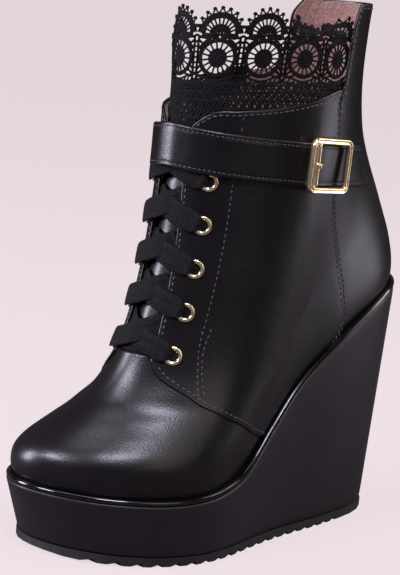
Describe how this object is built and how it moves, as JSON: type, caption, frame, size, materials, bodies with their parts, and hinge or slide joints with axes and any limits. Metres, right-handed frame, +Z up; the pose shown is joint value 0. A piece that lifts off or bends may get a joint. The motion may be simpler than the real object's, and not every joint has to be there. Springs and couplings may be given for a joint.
{
  "type": "wedge ankle boot",
  "caption": "High wedge platform ankle boot for the left foot, with laced front, buckled ankle strap, crochet cuff and back zip.",
  "frame": {"origin": "middle of the bounding box on the floor", "axes": "+Z up from the floor, -Y towards the toe, +Y towards the heel, +X towards the outer side of the foot"},
  "size_m": [0.0982, 0.222, 0.2547],
  "materials": {
    "smooth_leather": "smooth black leather, satin sheen",
    "wedge_wrap": "black leather wrap, satin",
    "tread_rubber": "matt black rubber",
    "gloss_bead": "glossy black bead",
    "insole_cloth": "brushed pinkish brown cloth",
    "pale_gold": "polished pale gold plating",
    "lace_braid": "flat woven black braid",
    "crochet": "black cotton crochet",
    "zip_tape": "black woven tape",
    "zip_metal": "antique brass"
  },
  "bodies": {
    "boot": {"outsole": "tread_rubber", "wedge": "wedge_wrap", "welt_bead": "gloss_bead", "insole": "insole_cloth", "upper": "smooth_leather", "tongue": "smooth_leather", "vamp_seam_outer": "smooth_leather", "vamp_seam_inner": "smooth_leather", "back_seam_outer": "smooth_leather", "back_seam_inner": "smooth_leather", "eyelet_outer_1": "pale_gold", "eyelet_inner_1": "pale_gold", "eyelet_outer_2": "pale_gold", "eyelet_inner_2": "pale_gold", "eyelet_outer_3": "pale_gold", "eyelet_inner_3": "pale_gold", "eyelet_outer_4": "pale_gold", "eyelet_inner_4": "pale_gold", "eyelet_outer_5": "pale_gold", "eyelet_inner_5": "pale_gold", "eyelet_outer_6": "pale_gold", "eyelet_inner_6": "pale_gold", "lace_bar": "lace_braid", "lace_cross_1": "lace_braid", "lace_cross_2": "lace_braid", "lace_cross_3": "lace_braid", "lace_cross_4": "lace_braid", "lace_cross_5": "lace_braid", "strap": "smooth_leather", "strap_billet": "smooth_leather", "buckle_frame": "pale_gold", "buckle_prong": "pale_gold", "zip_tape": "zip_tape", "zip_chain": "zip_metal", "zip_slider": "zip_metal", "lace_cuff": "crochet"},
    "pull": {"zip_pull_link": "zip_metal", "zip_pull_tab": "smooth_leather"}
  },
  "joints": [
    {"name": "zip_pull_hinge", "type": "hinge", "parent": "boot", "child": "pull", "pos_m": [0.00447, 0.07769, 0.2465], "axis": [1, 0, 0], "range_deg": [0, 150]}
  ]
}
